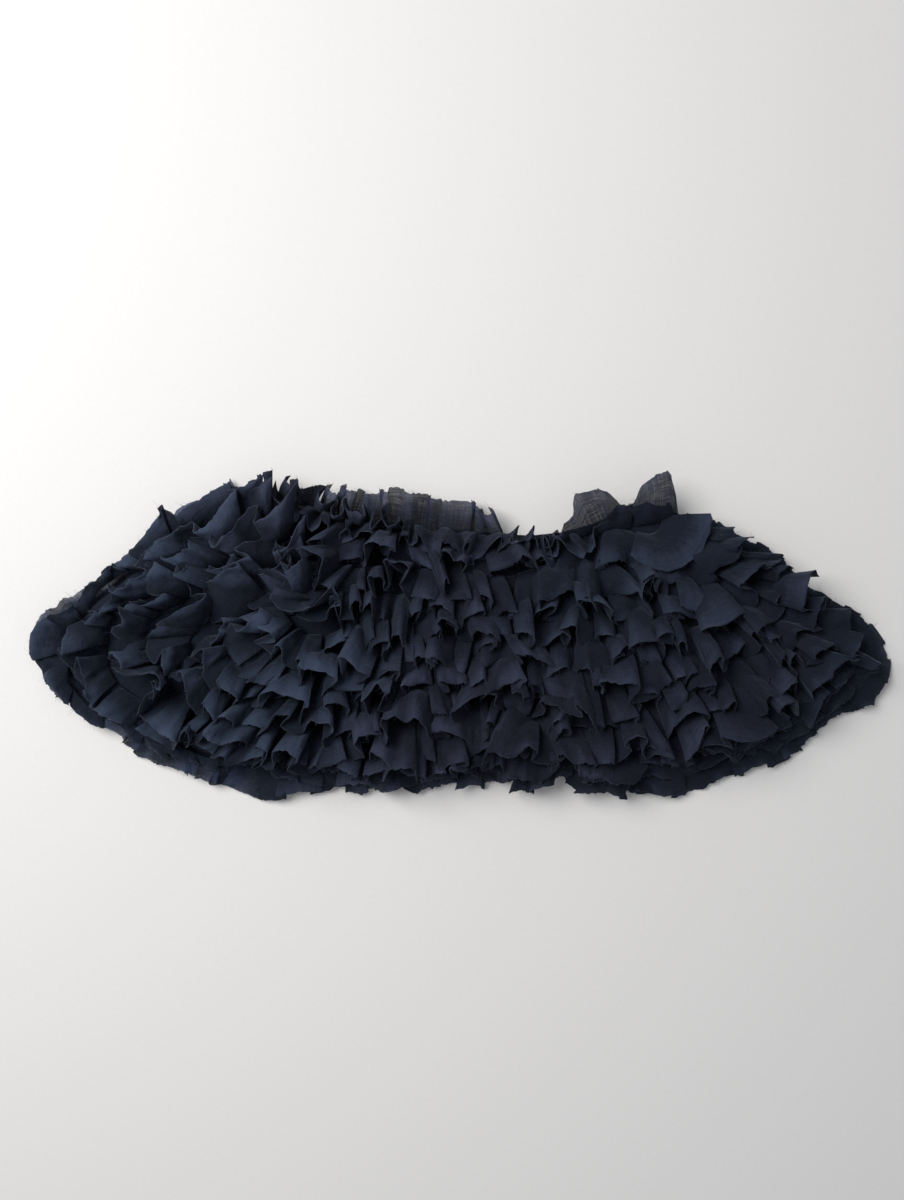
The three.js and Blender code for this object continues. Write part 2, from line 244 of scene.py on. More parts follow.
def zone_values(xy):
    """The columns from pleat on, at some places, one row for each place."""
    table = np.array(list(ZONES.values()), float)
    place = xy - ORIGIN_SHIFT
    distance = np.linalg.norm(place[:, None, :] - table[None, :, :2], axis=2)
    weight = np.exp(-0.5 * (distance / table[:, 2]) ** 2)
    weight = np.column_stack([np.full(len(xy), EVERYWHERE_WEIGHT), weight])
    values = np.vstack([EVERYWHERE, table[:, 3:]])
    return weight @ values / weight.sum(axis=1)[:, None]


# %% [markdown]
# Along a strip the flaps also change with the strip's own needs. A fall is a function that gives,
# for places on the seam: how far out and up the free edge lies, how deep the pleats are and how
# wide, and then their flow, tilt, lean, saw and mess. Where the pleats are shallow the cloth lies
# flat on the surface, and so it lies more evenly too.

# %% How a strip falls
OUT, RISE, LIFT, PLEAT, FLOW_X, FLOW_Y, TILT, LEAN, SAW, MESS = range(10)
FLAT_LIFT = 0.5
LOOSE_LIFT = 3.5
LEAST_MESS = 0.2


def row_fall(sections):
    """The fall of a front row: its own out, rise and lift along the seam, changed by the regions."""
    table = np.array(sections, float)

    def fall(share, xy):
        out, rise, lift = (np.interp(share, table[:, 0], table[:, k]) for k in (1, 2, 3))
        pleat, reach, more, *others, mess = zone_values(xy).T
        mess = mess * np.clip((lift - FLAT_LIFT) / (LOOSE_LIFT - FLAT_LIFT), LEAST_MESS, 1)
        return np.column_stack([out * reach, rise * reach, lift * more, pleat, *others, mess])

    return fall


def table_fall(sections):
    """The fall of a strip that has all ten columns in its own table."""
    table = np.array(sections, float)
    return lambda share, xy: np.column_stack(
        [np.interp(share, table[:, 0], column) for column in table.T[1:]])


print("values in a fall for each place on a seam:", MESS + 1)

# %% [markdown]
# A ruffle is a straight strip of cloth, pleated along one edge, with the other edge cut raw and
# left free. These are the kinds of fold that show: a knife fold that leans over its neighbour, a
# box fold with a flat face, two knife folds in a stack, a cone that is gathered to a point, a
# narrow tube, a soft wave, a wide stretch that was hardly folded, and a loop that turns in under
# itself on both sides. Each is a short table, fold line by fold line: its place on the sewn edge
# and on the free edge as shares of the pleat's width, and its lift as a share of its height.

# %% Kinds of pleat
KNIFE = [
    (0.12, 0.00, -0.55),
    (0.26, 0.24, 0.15),
    (0.44, 0.56, 0.66),
    (0.60, 0.90, 1.00),
    (0.68, 1.05, 0.84),
    (0.66, 0.90, 0.20),
    (0.58, 0.66, -0.45),
    (0.72, 0.74, -0.80),
]
BOX = [
    (0.18, 0.30, -0.80),
    (0.16, 0.26, -0.25),
    (0.13, 0.03, 0.60),
    (0.26, 0.20, 0.94),
    (0.50, 0.50, 1.00),
    (0.74, 0.82, 0.94),
    (0.87, 0.99, 0.66),
    (0.82, 0.74, -0.25),
    (0.84, 0.70, -0.80),
]
STACK = [
    (0.10, 0.00, -0.50),
    (0.30, 0.34, 0.55),
    (0.54, 0.78, 1.00),
    (0.62, 1.00, 0.86),
    (0.56, 0.80, 0.36),
    (0.50, 0.54, 0.10),
    (0.62, 0.86, 0.00),
    (0.68, 1.04, -0.12),
    (0.64, 0.84, -0.50),
    (0.76, 0.80, -0.80),
]
CONE = [
    (0.36, 0.05, -0.60),
    (0.42, 0.10, 0.10),
    (0.46, 0.32, 0.80),
    (0.52, 0.60, 1.00),
    (0.58, 0.90, 0.70),
    (0.60, 1.02, 0.40),
    (0.58, 0.84, -0.50),
    (0.64, 0.80, -0.80),
]
TUBE = [
    (0.24, 0.30, -0.80),
    (0.27, 0.16, -0.20),
    (0.32, 0.12, 0.50),
    (0.42, 0.32, 0.95),
    (0.58, 0.64, 0.98),
    (0.68, 0.86, 0.50),
    (0.70, 0.78, -0.20),
    (0.72, 0.66, -0.80),
]
WAVE = [
    (0.10, 0.05, -0.30),
    (0.25, 0.22, 0.50),
    (0.42, 0.42, 1.00),
    (0.58, 0.60, 0.60),
    (0.72, 0.76, -0.30),
    (0.86, 0.88, -0.80),
    (0.95, 0.97, -0.70),
]
WIDE = [
    (0.05, 0.04, -0.60),
    (0.09, 0.02, 0.20),
    (0.28, 0.25, 0.80),
    (0.48, 0.47, 0.52),
    (0.70, 0.72, 0.84),
    (0.92, 0.99, 0.74),
    (0.93, 0.98, 0.10),
    (0.90, 0.90, -0.65),
]
LOOP = [
    (0.32, 0.22, -0.80),
    (0.22, 0.02, -0.25),
    (0.26, 0.00, 0.45),
    (0.40, 0.26, 0.95),
    (0.58, 0.62, 1.00),
    (0.72, 0.96, 0.50),
    (0.76, 1.00, -0.25),
    (0.66, 0.78, -0.80),
]
NARROW_KINDS = ([TUBE, KNIFE, WAVE, BOX], [0.30, 0.30, 0.20, 0.20])
MIDDLE_KINDS = ([KNIFE, BOX, STACK, CONE, TUBE, WAVE], [0.20, 0.34, 0.26, 0.04, 0.04, 0.12])
WIDE_KINDS = ([WIDE, BOX, STACK], [0.36, 0.32, 0.32])
NARROW_WIDTH = 9.5
WIDE_WIDTH = 20.0
FOLD_PLACE_SPREAD = 0.03
FOLD_LIFT_SPREAD = 0.08


def side_by_side(*columns):
    """A table from its columns, where one number fills a whole column."""
    return np.column_stack(np.broadcast_arrays(*columns))


def pleat_folds(width, rng):
    """The folds of one pleat, of a kind that suits its width, each a little different."""
    kinds, chances = MIDDLE_KINDS
    if width < NARROW_WIDTH:
        kinds, chances = NARROW_KINDS
    elif width > WIDE_WIDTH:
        kinds, chances = WIDE_KINDS
    folds = np.array(kinds[rng.choice(len(kinds), p=chances)])
    folds[:, 1] += rng.normal(0, FOLD_PLACE_SPREAD, len(folds))
    folds[:, 2] += rng.normal(0, FOLD_LIFT_SPREAD, len(folds))
    return folds


def mirrored(folds):
    """The same pleat, folded to the other side."""
    turned = folds[::-1].copy()
    turned[:, :2] = 1 - turned[:, :2]
    return turned


print("fold lines in a knife, a box and a stack:", len(KNIFE), len(BOX), len(STACK))

# %% [markdown]
# Pleats are laid one after another until the seam is full. Where the seam turns sharply the flaps
# fan out, so the pleats are sewn closer there. Beside its folds, each pleat has its own length,
# turn and tilt, so that its face lies a little across its neighbours.

# %% Lay the pleats along a seam
PLEAT_SPREAD = 0.36
PLEAT_LIMITS = (0.55, 1.8)
HEIGHT_LIMITS = (0.75, 1.35)
TALLEST = 1.15
FULL_HEIGHT_WIDTH = 14
SWAY = 0.08
LEAST_SWITCH = 0.3
REACH_SPREAD = 0.10
SHORTEST_REACH = 0.6
SAW_SPREAD = 0.08
TURN_SPREAD = 0.12
TILT_SPREAD = 0.14
UNDER_REACH = 1.07
CURVE_WINDOW = 15
FAN_SHARE = 0.35


def seam_curve(seam, along):
    """How sharply the seam turns, in radians per mm, with the flaps on its outer side."""
    slopes = np.gradient(seam, along, axis=0)
    heading = np.unwrap(np.arctan2(slopes[:, 1], slopes[:, 0]))
    turning = np.gradient(heading, along)
    window = np.ones(CURVE_WINDOW) / CURVE_WINDOW
    return np.maximum(0, np.convolve(turning, window, mode="same"))


def pleat_plan(seam, along, fall, rng):
    """One row for each pleat: its start and width on the seam, then the fall there."""
    length = along[-1]
    curve = seam_curve(seam, along)
    plan = []
    start = 0.0
    while start < length:
        here = fall(np.array([start / length]), place_on(seam, along, [start]))[0]
        fan = 1 + FAN_SHARE * here[OUT] * np.interp(start, along, curve)
        width = here[PLEAT] / fan * np.clip(rng.lognormal(0, PLEAT_SPREAD), *PLEAT_LIMITS)
        plan.append((start, width, *here))
        start += width
    plan = np.array(plan)
    plan[:, :2] *= length / start
    return plan


def fold_lines(plan, rng):
    """Place on the sewn edge and on the free edge, lift, reach, turn and tilt of each fold line."""
    rows = []
    mirror = rng.uniform() < 0.5
    for start, width, *here in plan:
        lean = here[LEAN]
        if rng.uniform() < max(LEAST_SWITCH, abs(lean)):
            mirror = rng.uniform() < 0.5 + 0.5 * lean
        folds = pleat_folds(width, rng)
        if mirror:
            folds = mirrored(folds)
        height = here[LIFT] * rng.uniform(*HEIGHT_LIMITS)
        height *= min(TALLEST, (width / FULL_HEIGHT_WIDTH) ** 0.5)
        mess = here[MESS]
        saw = rng.normal(here[SAW], SAW_SPREAD * mess)
        reach = max(SHORTEST_REACH, rng.normal(1, REACH_SPREAD * mess))
        reach = reach * (1 + saw * (folds[:, 1] - 0.5))
        reach *= np.where(folds[:, 2] < 0, UNDER_REACH, 1)
        rows.append(side_by_side(
            start + folds[:, 0] * width,
            start + (folds[:, 1] + rng.normal(0, SWAY)) * width,
            folds[:, 2] * height,
            reach,
            rng.normal(0, TURN_SPREAD * mess),
            rng.normal(0, TILT_SPREAD * mess)))
    return np.vstack(rows)


hem_line = front_seam(0)
sharpest = seam_curve(hem_line, travelled(hem_line)).max()
print("sharpest turn of the hem row:", round(sharpest, 3), "radians per mm")

# %% [markdown]
# Crumpled cloth is never smooth between its folds. A few sine waves in random directions, seeded
# so that each run gives the same cloth, add up to soft dents of a stated depth and size.

# %% Soft dents
DENT_WAVES = 14
DENT_SIZES = (0.7, 1.5)


def dents(points, depth, size, seed):
    rng = np.random.default_rng(seed)
    directions = rng.normal(size=(DENT_WAVES, points.shape[-1]))
    directions /= np.linalg.norm(directions, axis=1)[:, None]
    speeds = 2 * math.pi / (size * rng.uniform(*DENT_SIZES, DENT_WAVES))
    phases = rng.uniform(0, 2 * math.pi, DENT_WAVES)
    waves = np.sin(points @ (directions * speeds[:, None]).T + phases)
    return depth * waves.sum(axis=-1) / math.sqrt(DENT_WAVES / 2)


trial = np.linspace(0, 500, 1000)[:, None]
print("deepest of some dents of depth 1:", round(dents(trial, 1, 20, seed=0).max(), 2))

# %% [markdown]
# A strip becomes a grid, with columns along the cloth and steps from the sewn edge to the free
# edge. The columns are closer together at the fold lines. Soft cotton has no knife-sharp folds, so
# the values of the fold lines are blurred along the cloth before they are read at the columns.

# %% Fold lines to columns
FOLD_RADIUS = 0.9
WIDEST_FOLD_SHARE = 0.3
FACE_STEP = 2.0
FOLD_SOFTNESS = 0.6
SOFTEN_STEP = 0.4
APART = 1e-6


def column_places(opened):
    """Where the grid's columns lie on the cloth, given the fold lines."""
    places = []
    for a, b in zip(opened, opened[1:]):
        edge = min(FOLD_RADIUS, (b - a) * WIDEST_FOLD_SHARE)
        count = max(1, round((b - a - 2 * edge) / FACE_STEP))
        places += [a, *np.linspace(a + edge, b - edge, count + 1)]
    return np.array(places + [opened[-1]])


def folded_columns(lines, softness):
    """The fold lines' values at the columns, blurred so that each fold is round."""
    opened = travelled(lines[:, 1:3]) + np.arange(len(lines)) * APART
    steps = np.arange(0, opened[-1], SOFTEN_STEP)
    reach = math.ceil(3 * softness / SOFTEN_STEP)
    weights = np.exp(-0.5 * (np.arange(-reach, reach + 1) * SOFTEN_STEP / softness) ** 2)
    weights /= weights.sum()
    places = column_places(opened)
    columns = []
    for values in lines.T:
        padded = np.pad(np.interp(steps, opened, values), reach, mode="edge")
        columns.append(np.interp(places, steps, np.convolve(padded, weights, mode="valid")))
    return columns


print("columns of a face of 10 mm:", len(column_places([0.0, 10.0])))

# %% [markdown]
# From the gathers at the seam each fold opens evenly outwards, as stiff cotton does. The whole
# flap is bent over, so its side view is an arc, and it swings sideways at the ends of the strip.
# Handling has turned, lifted and dented it, which is what the pairs of values are for: the depth
# of each kind of dent, and the length in mm over which it comes and goes.

# %% Shape a pleated strip
FLAP_STEPS = np.array([0, 0.07, 0.15, 0.24, 0.34, 0.44, 0.54, 0.64, 0.73, 0.82, 0.9, 0.96, 1.0])
GATHER_SHARE = 0.2
SEAM_CLEARANCE = 0.9
CLOTH_THICKNESS = 0.32
BEND = 1.25
BEND_POINTS = 81
BEND_LIMITS = (0.2, 1.9)
STEEPEST = 1.9
UPRIGHT_BEND = 1.5
LOWEST = 0.4
HIGH = 36.0
OVER_HIGH_KEPT = 0.4
END_FADE = 9.0
END_STEEPNESS = 0.45
SWING_LENGTH = 40
MOST_DRIFT = 1.2
RAGGED_EDGE = 0.3
RAGGED_POWER = 20
CURL_POWER = 4
# Share of the pale tone kept at the seam, where the cloth has painted shade from the row above.
LIT_SHARE_AT_SEAM = 0.3
SEAM_DRIFT = (1, 52)
SEAM_WANDER = 2.6
TURN_DENTS = (0.14, 48)
ANGLE_DENTS = (0.12, 42)
LENGTH_DENTS = (0.07, 34)
BEND_DENTS = (0.35, 30)
EDGE_CURL = (1.3, 18)
WIDE_DENTS = (0.75, 13)
SMALL_DENTS = (0.42, 6)


def flap_profile():
    """Out and up at each flap step, as shares of a chord of length 1 laid along the first axis."""
    angles = np.linspace(BEND / 2, -BEND / 2, BEND_POINTS)
    path = np.column_stack([np.cos(angles), np.sin(angles)]).cumsum(axis=0)
    path = np.vstack([[0, 0], path]) / path[-1, 0]
    share = np.linspace(0, 1, len(path))
    return np.column_stack([np.interp(FLAP_STEPS, share, path[:, k]) for k in range(2)])


def outward_ways(side, turn, flow):
    """The way that each column's flap points: out from the seam, turned, and brushed."""
    x, y = side.T
    turned = np.column_stack([
        x * np.cos(turn) - y * np.sin(turn),
        x * np.sin(turn) + y * np.cos(turn)])
    return unit(flow + turned)


def strip_points(
        seam, fall, seat, seed, swing=(0, 0), rough=1.0, wander=1.0, plan=None, steepest=STEEPEST,
        softness=FOLD_SOFTNESS):
    """Points of a strip as [flap step, column], the flat cloth's places in mm, and its fading and
    painted shade.
    """
    rng = np.random.default_rng(seed)
    along = travelled(seam)
    length = along[-1]
    if plan is None:
        lines = fold_lines(pleat_plan(seam, along, fall, rng), rng)
    else:
        lines = placed_folds(plan, length)
    sewn, free, lift, reach, turn, tilt = folded_columns(lines, softness)
    cloth = travelled(np.column_stack([free, lift]))
    sewn = np.clip(sewn, 0, length)

    root = place_on(seam, along, sewn)
    tangent = unit(place_on(np.gradient(seam, along, axis=0), along, sewn))
    side = np.column_stack([tangent[:, 1], -tangent[:, 0]])
    near_start = np.maximum(0, 1 - sewn / SWING_LENGTH)
    near_end = np.maximum(0, 1 - (length - sewn) / SWING_LENGTH)
    near = 1 - np.maximum(near_start, near_end)
    place = sewn[:, None]
    turn = turn + swing[1] * near_end - swing[0] * near_start
    turn += wander * dents(place, *TURN_DENTS, seed + 1)
    lay = fall(sewn / length, root)
    drift = np.clip(dents(place, *SEAM_DRIFT, seed + 8), -MOST_DRIFT, MOST_DRIFT)
    root = root + side * (wander * SEAM_WANDER * drift * near)[:, None]
    outward = outward_ways(side, turn, lay[:, [FLOW_X, FLOW_Y]])

    ends = np.minimum(1, np.minimum(sewn, length - sewn) / END_FADE)
    angle = np.arctan2(lay[:, RISE], lay[:, OUT]) + lay[:, TILT] + tilt
    angle += wander * dents(place, *ANGLE_DENTS, seed + 2)
    angle = np.minimum(angle, steepest) * (END_STEEPNESS + (1 - END_STEEPNESS) * ends)
    long = np.hypot(lay[:, OUT], lay[:, RISE]) * reach
    long *= 1 + wander * dents(place, *LENGTH_DENTS, seed + 3)
    chord = np.column_stack([outward * np.cos(angle)[:, None], np.sin(angle)])
    up = np.column_stack([-outward * np.sin(angle)[:, None], np.cos(angle)])
    tangent = np.column_stack([tangent, np.zeros(len(tangent))])
    curve = np.clip(1 + dents(place, *BEND_DENTS, seed + 4), *BEND_LIMITS)
    curve *= np.clip(UPRIGHT_BEND * np.cos(angle), -1, 1)
    curl = rough * dents(cloth[:, None], *EDGE_CURL, seed + 5)
    ragged = rng.normal(0, RAGGED_EDGE, len(cloth))

    base = np.column_stack([root, seat(root) + SEAM_CLEARANCE])
    points = np.empty((len(FLAP_STEPS), len(cloth), 3))
    for step, (share, (out, over)) in enumerate(zip(FLAP_STEPS, flap_profile())):
        flat = np.column_stack([cloth, share * long])
        dent = dents(flat, *WIDE_DENTS, seed + 6) + dents(flat, *SMALL_DENTS, seed + 7)
        height = lift * (GATHER_SHARE + (1 - GATHER_SHARE) * share) + over * long * curve
        height += rough * share * dent + curl * share ** CURL_POWER
        points[step] = (
            base
            + tangent * ((free - sewn) * share)[:, None]
            + chord * (out * long + ragged * share ** RAGGED_POWER)[:, None]
            + up * height[:, None])
    over = np.maximum(0, points[..., 2] - HIGH)
    points[..., 2] = np.maximum(points[..., 2] - (1 - OVER_HIGH_KEPT) * over, LOWEST)
    flat = np.stack(np.broadcast_arrays(cloth[None, :], FLAP_STEPS[:, None] * long.mean()), axis=-1)
    # Painted shade and highlight: the valleys of the folds and the cloth near the seam, under the row
    # above, are darker, and raised folds are paler, partly from fading.
    raised = np.clip(0.5 + 0.5 * lift / np.abs(lift).max(), 0, 1)
    worn_and_shaded = raised[None, :] * (LIT_SHARE_AT_SEAM + (1 - LIT_SHARE_AT_SEAM) * FLAP_STEPS[:, None])
    return points, flat, worn_and_shaded


print("height of a flap's arc, as a share of its chord:", round(flap_profile()[:, 1].max(), 2))

# %% [markdown]
# All the pieces carry the same notes for their cloth. A UV map holds the flat cloth in metres, so
# that the weave follows every fold. One attribute holds how far a point is from the raw edge, and
# another how much it stands out. The cloth is paler where it stands out, partly from fading and
# partly as a painted highlight, and it has painted shade in the valleys of the folds and near the
# seam, under the row above.

# %% Read and write a mesh
def vertex_places(mesh):
    """The places of a mesh's vertices in mm, one row for each."""
    places = np.empty(len(mesh.vertices) * 3)
    mesh.vertices.foreach_get("co", places)
    return places.reshape(-1, 3) / MM


def move_vertices(mesh, places):
    mesh.vertices.foreach_set("co", (places * MM).ravel())
    mesh.update()


def note_cloth(mesh, flat, from_edge, faded_and_shaded):
    """Write down the flat cloth's place in mm, the way from the raw edge in mm, and the fading and
    painted shade.
    """
    if not mesh.uv_layers:
        mesh.uv_layers.new(name="UVMap")
    corner = np.empty(len(mesh.loops), int)
    mesh.loops.foreach_get("vertex_index", corner)
    mesh.uv_layers[0].data.foreach_set("uv", (flat[corner] * MM).ravel())
    for name, value in (("from_edge", from_edge), ("faded_and_shaded", faded_and_shaded)):
        attribute = mesh.attributes.new(name, "FLOAT", "POINT")
        attribute.data.foreach_set("value", np.full(len(mesh.vertices), value, float))


# %% [markdown]
# A sheet starts as Blender's grid primitive, 2 mm wide, and each of its points is moved to its
# place. A Solidify modifier then gives the cloth its thickness, half of it on either side.

# %% Make a sheet from points
def add_sheet(name, points, flat, worn_and_shaded, thickness=CLOTH_THICKNESS):
    steps, columns = points.shape[0] - 1, points.shape[1] - 1
    bpy.ops.object.select_all(action="DESELECT")
    bpy.ops.mesh.primitive_grid_add(x_subdivisions=columns, y_subdivisions=steps, size=2 * MM)
    sheet = bpy.context.object
    sheet.name = name
    sheet.data.name = name
    grid = (vertex_places(sheet.data) + 1) / 2
    column = np.rint(grid[:, 0] * columns).astype(int)
    step = np.rint(grid[:, 1] * steps).astype(int)
    move_vertices(sheet.data, points[step, column])
    cloth = flat[step, column]
    note_cloth(sheet.data, cloth, flat[-1, 0, 1] - cloth[:, 1], worn_and_shaded[step, column])
    bpy.ops.object.shade_smooth()
    bpy.ops.object.modifier_add(type="SOLIDIFY")
    wall = sheet.modifiers[-1]
    wall.thickness = thickness * MM
    wall.offset = 0
    bpy.ops.object.modifier_apply(modifier=wall.name)
    return sheet


def mesh_area(piece):
    return sum(face.area for face in piece.data.polygons)


print("thickness of the common cloth:", CLOTH_THICKNESS, "mm")

# %% [markdown]
# Shader maths reads best as sums. One small class wraps a socket, so that an expression such as
# 1 - mask * 0.5 adds its own Math nodes. Another holds a material, with short ways to add nodes.

# %% Shader helpers
class Value:
    """A socket that takes part in sums."""

    def __init__(self, shader, socket):
        self.shader = shader
        self.socket = socket

    def math(self, operation, *others):
        return self.shader.add("ShaderNodeMath", {"operation": operation}, [self, *others])

    def __add__(self, other):
        return self.math("ADD", other)

    def __sub__(self, other):
        return self.math("SUBTRACT", other)

    def __mul__(self, other):
        return self.math("MULTIPLY", other)

    def __rsub__(self, other):
        return self.shader.add("ShaderNodeMath", {"operation": "SUBTRACT"}, [other, self])

    __radd__ = __add__
    __rmul__ = __mul__

    def __getitem__(self, name):
        return Value(self.shader, self.socket.node.outputs[name])

    def clamped(self):
        return self.math("MAXIMUM", 0).math("MINIMUM", 1)


class Shader:
    """A new material with its Principled shader."""

    def __init__(self, name):
        self.material = bpy.data.materials.new(name)
        self.material.use_nodes = True
        self.tree = self.material.node_tree
        self.surface = next(n for n in self.tree.nodes if n.type == "BSDF_PRINCIPLED")

    def add(self, kind, settings=None, inputs=None, output=0):
        node = self.tree.nodes.new(kind)
        for name, value in (settings or {}).items():
            setattr(node, name, value)
        pairs = enumerate(inputs) if isinstance(inputs, list) else (inputs or {}).items()
        for name, value in pairs:
            self.put(node.inputs[name], value)
        return Value(self, node.outputs[output])

    def put(self, socket, value):
        if isinstance(value, Value):
            self.tree.links.new(value.socket, socket)
        else:
            socket.default_value = value

    def mix(self, factor, low, high):
        return self.add(
            "ShaderNodeMix", {"data_type": "RGBA"}, {0: factor, 6: low, 7: high}, output=2)

    def noise(self, vector, scale, detail):
        return self.add("ShaderNodeTexNoise", {}, {"Vector": vector, "Scale": scale, "Detail": detail})

    def bump(self, height, strength, depth, below=None):
        inputs = {"Height": height, "Strength": strength, "Distance": depth * MM}
        if below:
            inputs["Normal"] = below
        return self.add("ShaderNodeBump", {}, inputs)

    def set(self, **inputs):
        for name, value in inputs.items():
            self.put(self.surface.inputs[name.replace("_", " ")], value)


# %% [markdown]
# The cloth is a matte navy cotton voile in a plain weave. Its threads run along the strip's own
# flat coordinates. Two sine waves make the threads, and long narrow noises make some of them
# thicker, which a spinner calls slubs.

# %% The weave
THREAD_SPACING = 0.42
SLUB_ACROSS = 1500
SLUB_ALONG = 90
THREAD_CONTRAST = 0.22
SLUB_CONTRAST = 1.9
WEAVE_SHIFT = 0.45


def woven(shader, uv):
    """How thick the weave is, from 0 in the gaps to 1 on the threads."""
    parts = shader.add("ShaderNodeSeparateXYZ", {}, [uv])
    turns = 2 * math.pi / (THREAD_SPACING * MM)
    warp = (parts["X"] * turns).math("SINE")
    weft = (parts["Y"] * turns).math("SINE")

    def slubs(x, y):
        stretched = shader.add("ShaderNodeMapping", {}, {"Vector": uv, "Scale": (x, y, 1)})
        return shader.noise(stretched, 1.0, 2.0)

    threads = slubs(SLUB_ACROSS, SLUB_ALONG) * 0.5 + slubs(SLUB_ALONG, SLUB_ACROSS) * 0.5
    return (warp * weft * THREAD_CONTRAST + threads * SLUB_CONTRAST - WEAVE_SHIFT).clamped()


print("threads to a centimetre:", round(10 / THREAD_SPACING))

# %% [markdown]
# The dye is uneven, bluer at both ends of the collar and nearer plum in the middle. Each place is
# mixed from a dark and a pale colour. Raised folds are paler, partly faded and partly a painted
# highlight, the valleys and the cloth near the seams have painted shade, and the collar has painted
# shade that grows to the right, away from the window.

# %% The dye, with painted shade and highlight
BLUE_DARK = (0.0084, 0.0121, 0.0212)
BLUE_FADED_AND_LIT = (0.0450, 0.0630, 0.1050)
PLUM_DARK = (0.0096, 0.0110, 0.0195)
PLUM_FADED_AND_LIT = (0.0490, 0.0555, 0.0970)
NO_TINT = (1, 1, 1)
HUE_SCALE = 9.0
HUE_CONTRAST = 3
BLUER_PER_METRE = 7
HUE_SHIFT = 0.45
PATCH_SCALE = 55.0
FADE_AND_SHADE_SHARE = 1.6
PATCH_SHARE = 0.6
WEAVE_SHARE = 0.32
# Painted shade per metre to the right, away from the window.
PAINTED_SHADE_PER_METRE = 0.9
SHADE_SHIFT = 1.32


def colour(rgb, times=1.0, tint=NO_TINT):
    return (*(c * times * t for c, t in zip(rgb, tint)), 1)


def dyed(shader, place, weave, painted_light, tint):
    """The colour of the cloth away from its raw edges, with its fading and painted shade."""
    across = shader.add("ShaderNodeSeparateXYZ", {}, [place])
    middle_to_end = across["X"].math("ABSOLUTE") * BLUER_PER_METRE
    hue = (shader.noise(place, HUE_SCALE, 1.0) * HUE_CONTRAST - middle_to_end - HUE_SHIFT).clamped()
    faded_and_shaded = shader.add("ShaderNodeAttribute", {"attribute_name": "faded_and_shaded"}, output=2)
    patches = shader.noise(place, PATCH_SCALE, 3.0)
    # Painted shade and highlight: the fade-and-shade attribute, with random patches and the weave,
    # sets how pale each place is.
    worn_and_shaded = faded_and_shaded * FADE_AND_SHADE_SHARE + patches * PATCH_SHARE + weave * WEAVE_SHARE
    # Painted shade that grows towards the right, away from the window.
    shade = (worn_and_shaded - across["X"] * PAINTED_SHADE_PER_METRE - SHADE_SHIFT).clamped()
    dark = shader.mix(hue, colour(BLUE_DARK, painted_light, tint), colour(PLUM_DARK, painted_light, tint))
    light = shader.mix(hue, colour(BLUE_FADED_AND_LIT, painted_light, tint), colour(PLUM_FADED_AND_LIT, painted_light, tint))
    return shader.mix(shade, dark, light)


print("dark and faded blue:", colour(BLUE_DARK), colour(BLUE_FADED_AND_LIT))

# %% [markdown]
# The raw edge is paler in places, where threads have come loose. Fine creases and the weave are
# bump, because they are too small for the mesh. Where the cloth lies single over a pale ground,
# light comes through between the threads, so each cloth lets through a share that follows them:
# the common one a little, the thin one of the large neck flaps more, and the thinnest most. The
# thin cloths are also paler, as painted light coming through them, and the hidden layers are a
# darker copy, as painted shade. The thinnest is worn by the ruffles of the back half.

# %% Navy cotton
THIN_TINT = (1.0, 1.0, 1.08)
RAW_EDGE = (0.075, 0.082, 0.112)
RAW_WIDTH = 0.5
RAW_SHIFT = 0.7
FLUFF_SCALE = 700.0
FLUFF_CONTRAST = 3.2
WEAR_SCALE = 60.0
WEAR_CONTRAST = 1.6
WEAR_SHIFT = 0.4
CREASE_SCALE = 210.0
CREASE_STRENGTH = 0.6
CREASE_DEPTH = 2.0
WEAVE_STRENGTH = 0.5
WEAVE_DEPTH = 0.16


def navy_cotton(name, sheer=0.0, painted_light=1.0, tint=NO_TINT):
    shader = Shader(name)
    uv = shader.add("ShaderNodeTexCoord", output="UV")
    place = shader.add("ShaderNodeTexCoord", output="Object")
    weave = woven(shader, uv)
    cloth = dyed(shader, place, weave, painted_light, tint)
    from_edge = shader.add("ShaderNodeAttribute", {"attribute_name": "from_edge"}, output=2)
    fluff = (shader.noise(uv, FLUFF_SCALE, 3.0) - 0.5) * FLUFF_CONTRAST
    raw = (RAW_SHIFT - from_edge * (1 / RAW_WIDTH) + fluff).clamped()
    wear = (shader.noise(place, WEAR_SCALE, 1.0) * WEAR_CONTRAST - WEAR_SHIFT).clamped()
    creases = shader.bump(
        shader.noise(place, CREASE_SCALE, 4.0), CREASE_STRENGTH, CREASE_DEPTH)
    shader.set(
        Base_Color=shader.mix(raw * wear, cloth, colour(RAW_EDGE)),
        Normal=shader.bump(weave, WEAVE_STRENGTH, WEAVE_DEPTH, below=creases),
        Roughness=0.9, Specular_IOR_Level=0.12,
        Sheen_Weight=0.12, Sheen_Roughness=0.5, Sheen_Tint=(0.50, 0.60, 0.85, 1))
    if sheer:
        shader.set(Alpha=1 - (1 - weave) * sheer)
    return shader.material


# Painted light: the thin cloths are paler copies of the cotton, and the hidden layers a darker copy as
# painted shade.
cotton = navy_cotton("navy_cotton", sheer=0.15)
sheer_cotton = navy_cotton("sheer_cotton", sheer=0.50, painted_light=1.2, tint=THIN_TINT)
thinnest_cotton = navy_cotton("thinnest_cotton", sheer=0.60, painted_light=1.3, tint=THIN_TINT)
hidden_cotton = navy_cotton("navy_cotton_layers", painted_light=0.7)
print("materials:", cotton.name, sheer_cotton.name, thinnest_cotton.name, hidden_cotton.name)


def dress(piece, material):
    piece.data.materials.clear()
    piece.data.materials.append(material)
    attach(piece, "root")
    return piece


# %% [markdown]
# One function makes a whole ruffle: it shapes the strip, dresses it, hides the solid that it
# stands for and prints how large the flat strip was. It keeps the raw edge too, for the loose threads.

# %% Make a ruffle
THIN_CLOTH = 0.2
raw_edges = []


